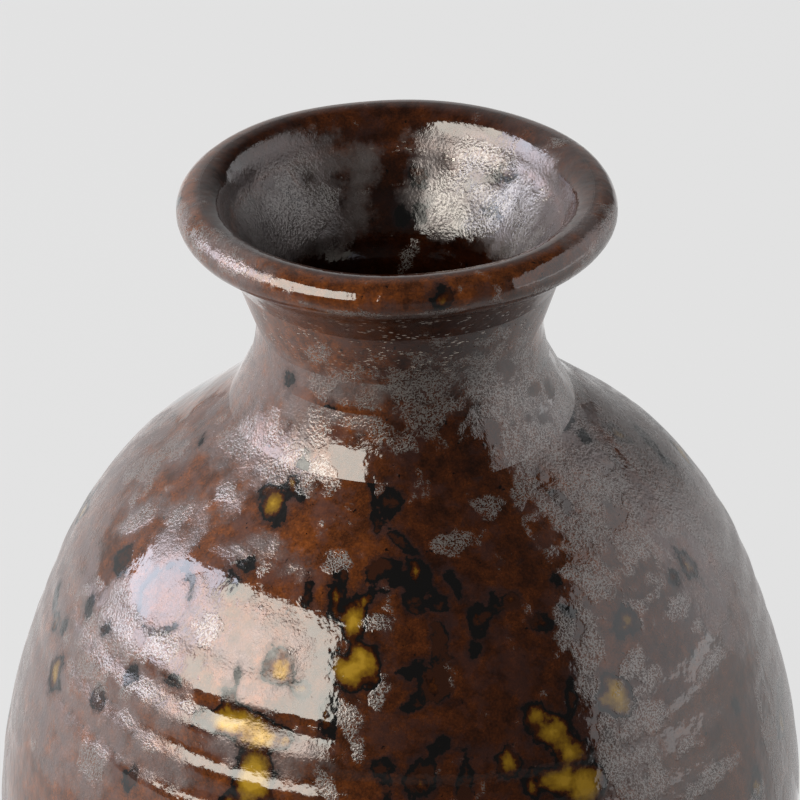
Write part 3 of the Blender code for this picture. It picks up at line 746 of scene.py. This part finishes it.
    # relief in millimetres: slow waves, fine ripples, crystals in the film, shallow pits under the lip
    facets = addNode(tree, "Math ADD", {}, {0: veil, 1: patch})
    facets = addNode(tree, "Math MULTIPLY", {}, {0: facets, 1: noise["crystal"]})
    relief = addNode(tree, "Math MULTIPLY", {1: look["peelHeight"]}, {0: noise["peel"]})
    for part, size in ((noise["ripple"], look["rippleHeight"]), (facets, look["crystalHeight"]),
                       (pits, -look["pitDepth"])):
        relief = addNode(tree, "Math MULTIPLY_ADD", {1: size}, {0: part, 2: relief})
    normal = addNode(tree, "Bump", {"Strength": 1.0, "Distance": mm}, {"Height": relief})
    tree.links.new(normal, shader.inputs["Normal"])
    return material


clayLook = {
    "cloudsPerMm": 0.22, "specksPerMm": 1.8, "sandPerMm": 3.2,
    "tones": [(0.35, "#7c5a3f"), (0.5, "#96724f"), (0.66, "#a9855f")],
    "speck": "#3a2416", "speckEdge": (0.66, 0.72),
    "toast": "#5b3520", "toastHeight": (2.0, 5.5), "toastMost": 0.6,   # darker towards the glaze line
    "roughness": 0.82, "sandHeight": 0.06,
}


def makeStoneware():
    # Iron-bearing stoneware clay, thrown, trimmed and fired bare: buff-brown, toasted near the glaze,
    # with iron specks, and matt and slightly sandy to the eye
    material = bpy.data.materials.new("stonewareClay")
    material.use_nodes = True
    tree, look = material.node_tree, clayLook
    shader = tree.nodes["Principled BSDF"]
    place = addNode(tree, "TexCoord", out="Object")
    inMm = addNode(tree, "Mapping", {"Scale": (1000, 1000, 1000)}, {0: place})
    cloud = addNode(tree, "TexNoise", {"Scale": look["cloudsPerMm"], "Detail": 4.0}, {0: inMm})
    toned = addNode(tree, "ValToRGB", {"stops": look["tones"]}, {0: cloud})
    specks = addNode(tree, "TexNoise", {"Scale": look["specksPerMm"], "Detail": 2.0}, {0: inMm})
    specks = addNode(tree, "MapRange", {"between": look["speckEdge"]}, {"Value": specks})
    toned = addNode(tree, "Mix", {"data_type": "RGBA", 7: look["speck"]}, {0: specks, 6: toned}, out=2)
    level = addNode(tree, "SeparateXYZ", {}, {0: inMm}, out="Z")
    toast = addNode(tree, "MapRange", {"between": look["toastHeight"], "To Max": look["toastMost"]},
                    {"Value": level})
    toned = addNode(tree, "Mix", {"data_type": "RGBA", 7: look["toast"]}, {0: toast, 6: toned}, out=2)
    tree.links.new(toned, shader.inputs["Base Color"])
    shader.inputs["Roughness"].default_value = look["roughness"]
    sand = addNode(tree, "TexNoise", {"Scale": look["sandPerMm"], "Detail": 3.0, "Roughness": 0.6}, {0: inMm})
    normal = addNode(tree, "Bump", {"Strength": 1.0, "Distance": look["sandHeight"] * mm}, {"Height": sand})
    tree.links.new(normal, shader.inputs["Normal"])
    return material


ironGlaze, stonewareClay = makeIronGlaze(), makeStoneware()
finishes = {"outer_glaze": (ironGlaze, "iron_glaze"), "inner_glaze": (ironGlaze, "iron_glaze"),
            "clay_body": (stonewareClay, "stoneware")}
for node, piece in pieces.items():
    material, slotName = finishes[node]
    piece.data.materials.append(material)
    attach(piece, "root")
    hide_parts(node)
print("materials set")


studio = {
    "floor": "#e4e4e4", "floorGlow": 0.93, "floorRadius": 3.0,   # places on the floor are in metres
    "frontGlow": 0.10, "frontEdge": (-0.2, 0.15),                # its light in front, and where it grows
    "leftEnd": (-0.9, 0.3, 0), "leftRange": (0.5, 1.9), "leftGlow": (1.45, 0.35),
    "cardRange": (0.15, 0.55), "cardGlow": 0.9,
    "behind": (-0.64, 0.77, 0), "behindRange": (0.1, 1.0), "behindGlow": (0.05, 0.75), "backdrop": 0.78,
    # each panel: place in mm, degrees it faces round and up, roll, width and height in mm, radiance, colour
    "window": {"place": (-567, -482, 597), "turn": -62, "tip": 3, "roll": 13, "size": (777, 708),
               "radiance": 8.4, "tone": "#fffbf0"},
    "sky": {"place": (-831, 163, 394), "turn": -51, "tip": 15, "roll": 10, "size": (706, 424),
            "radiance": 8.6, "tone": "#ebefff"},
    "card": {"place": (804, 113, 150), "turn": 98, "tip": 0, "roll": 0, "size": (1360, 1620), "round": True,
             "radiance": 1.35, "tone": "#f4f4f6"},
    "lens": 233.9, "cameraDistance": 540, "cameraElevation": 28.79, "cameraAim": (0, 0, 100.27),
}


def addPanel(name, spec):
    # a flat light, rectangular or oval; turn and tip say which way it lies from the bottle it shines at
    turn, tip, roll = [radians(spec[k]) for k in ("turn", "tip", "roll")]
    away = Vector((np.sin(turn) * np.cos(tip), -np.cos(turn) * np.cos(tip), np.sin(tip)))
    wide = Vector((np.cos(turn), np.sin(turn), 0))
    tall = away.cross(wide)
    if tall.z < 0:
        tall.negate()
    wide, tall = wide * np.cos(roll) + tall * np.sin(roll), tall * np.cos(roll) - wide * np.sin(roll)
    axes = Matrix((wide, tall, wide.cross(tall))).transposed()
    if axes.col[2].dot(away) < 0:
        axes = Matrix((-wide, tall, away)).transposed()
    isRound = spec.get("round", False)
    data = bpy.data.lights.new(name, "AREA")
    data.shape = "ELLIPSE" if isRound else "RECTANGLE"
    data.size, data.size_y = [side * mm for side in spec["size"]]
    data.color = colour(spec["tone"])[:3]
    data.energy = spec["radiance"] * np.pi * data.size * data.size_y * (np.pi / 4 if isRound else 1)
    light = bpy.data.objects.new(name, data)
    light.matrix_world = Matrix.Translation(Vector(spec["place"]) * mm) @ axes.to_4x4()
    scene.collection.objects.link(light)
    return light


for name in ("window", "sky", "card"):
    addPanel(name, studio[name])


def makeFloor():
    # a wide pale disc that glows softly, as a lit table does, so shadows on it stay faint
    t = np.linspace(0, tau, 96, endpoint=False)
    rim = np.column_stack((np.sin(t), -np.cos(t), 0 * t)) * studio["floorRadius"]
    rim[:, 2] = -0.1 * mm   # just under the foot, so the two faces don't share a plane
    mesh = bpy.data.meshes.new("studioFloor")
    mesh.from_pydata(rim.tolist(), [], [list(range(len(t)))])
    material = bpy.data.materials.new("paleFloor")
    material.use_nodes = True
    tree = material.node_tree
    shader = tree.nodes["Principled BSDF"]
    pale = colour(studio["floor"])
    shader.inputs["Base Color"].default_value = [c * 0.05 for c in pale[:3]] + [1]
    shader.inputs["Roughness"].default_value = 1.0
    shader.inputs["Specular IOR Level"].default_value = 0.0
    shader.inputs["Emission Color"].default_value = pale
    # The light that the floor sends to the bottle is strongest on the window's side and near the card,
    # and weakest in front, where nothing lights it. The camera sees it as even.
    place = addNode(tree, "TexCoord", out="Object")
    x = addNode(tree, "SeparateXYZ", {}, {0: place}, out="X")
    y = addNode(tree, "SeparateXYZ", {}, {0: place}, out="Y")
    rearward = addNode(tree, "Math MULTIPLY_ADD", {1: 0.5},
                       {0: addNode(tree, "Math ABSOLUTE", {}, {0: x}), 2: y})
    rearward = addNode(tree, "MapRange", {"interpolation_type": "SMOOTHSTEP", "between": studio["frontEdge"],
                                          "To Min": studio["frontGlow"]}, {"Value": rearward})
    away = addNode(tree, "VectorMath DISTANCE", {1: studio["leftEnd"]}, {0: place}, out="Value")
    near, far = studio["leftGlow"]
    away = addNode(tree, "MapRange", {"between": studio["leftRange"], "To Min": near, "To Max": far},
                   {"Value": away})
    cardward = addNode(tree, "Math MULTIPLY_ADD", {1: -0.7}, {0: y, 2: x})
    cardward = addNode(tree, "MapRange", {"between": studio["cardRange"], "To Max": studio["cardGlow"]},
                       {"Value": cardward})
    away = addNode(tree, "Math ADD", {}, {0: away, 1: cardward})
    glow = addNode(tree, "Math MULTIPLY", {}, {0: rearward, 1: away})
    glow = addNode(tree, "Mix", {"data_type": "FLOAT", 3: studio["floorGlow"]},
                   {0: addNode(tree, "LightPath", out="Is Camera Ray"), 2: glow})
    tree.links.new(glow, shader.inputs["Emission Strength"])
    mesh.materials.append(material)
    floor = bpy.data.objects.new("studioFloor", mesh)
    scene.collection.objects.link(floor)


makeFloor()

world = bpy.data.worlds.new("studio")
world.use_nodes = True
scene.world = world
sky = world.node_tree
backdrop = sky.nodes["Background"]
# the surroundings are brightest behind the bottle on the window's side; the camera sees an even backdrop
facing = addNode(sky, "VectorMath DOT_PRODUCT", {1: studio["behind"]},
                 {0: addNode(sky, "TexCoord", out="Generated")}, out="Value")
faint, strong = studio["behindGlow"]
behindBottle = addNode(sky, "MapRange", {"interpolation_type": "SMOOTHSTEP", "between": studio["behindRange"],
                                         "To Min": faint, "To Max": strong}, {"Value": facing})
seen = addNode(sky, "LightPath", out="Is Camera Ray")
glow = addNode(sky, "Mix", {"data_type": "FLOAT", 3: studio["backdrop"]}, {0: seen, 2: behindBottle})
sky.links.new(glow, backdrop.inputs["Strength"])
backdrop.inputs["Color"].default_value = (1, 1, 1, 1)

cameraData = bpy.data.cameras.new("camera")
cameraData.lens, cameraData.sensor_width = studio["lens"], 36
cameraData.clip_start, cameraData.clip_end = 0.01, 20
camera = bpy.data.objects.new("camera", cameraData)
tilt = radians(studio["cameraElevation"])
aim = Vector(studio["cameraAim"]) * mm
camera.location = aim + Vector((0, -np.cos(tilt), np.sin(tilt))) * studio["cameraDistance"] * mm
camera.rotation_euler = (aim - camera.location).to_track_quat("-Z", "Y").to_euler()
scene.collection.objects.link(camera)
scene.camera = camera
scene.view_settings.view_transform = "Standard"
print("camera and lights set")
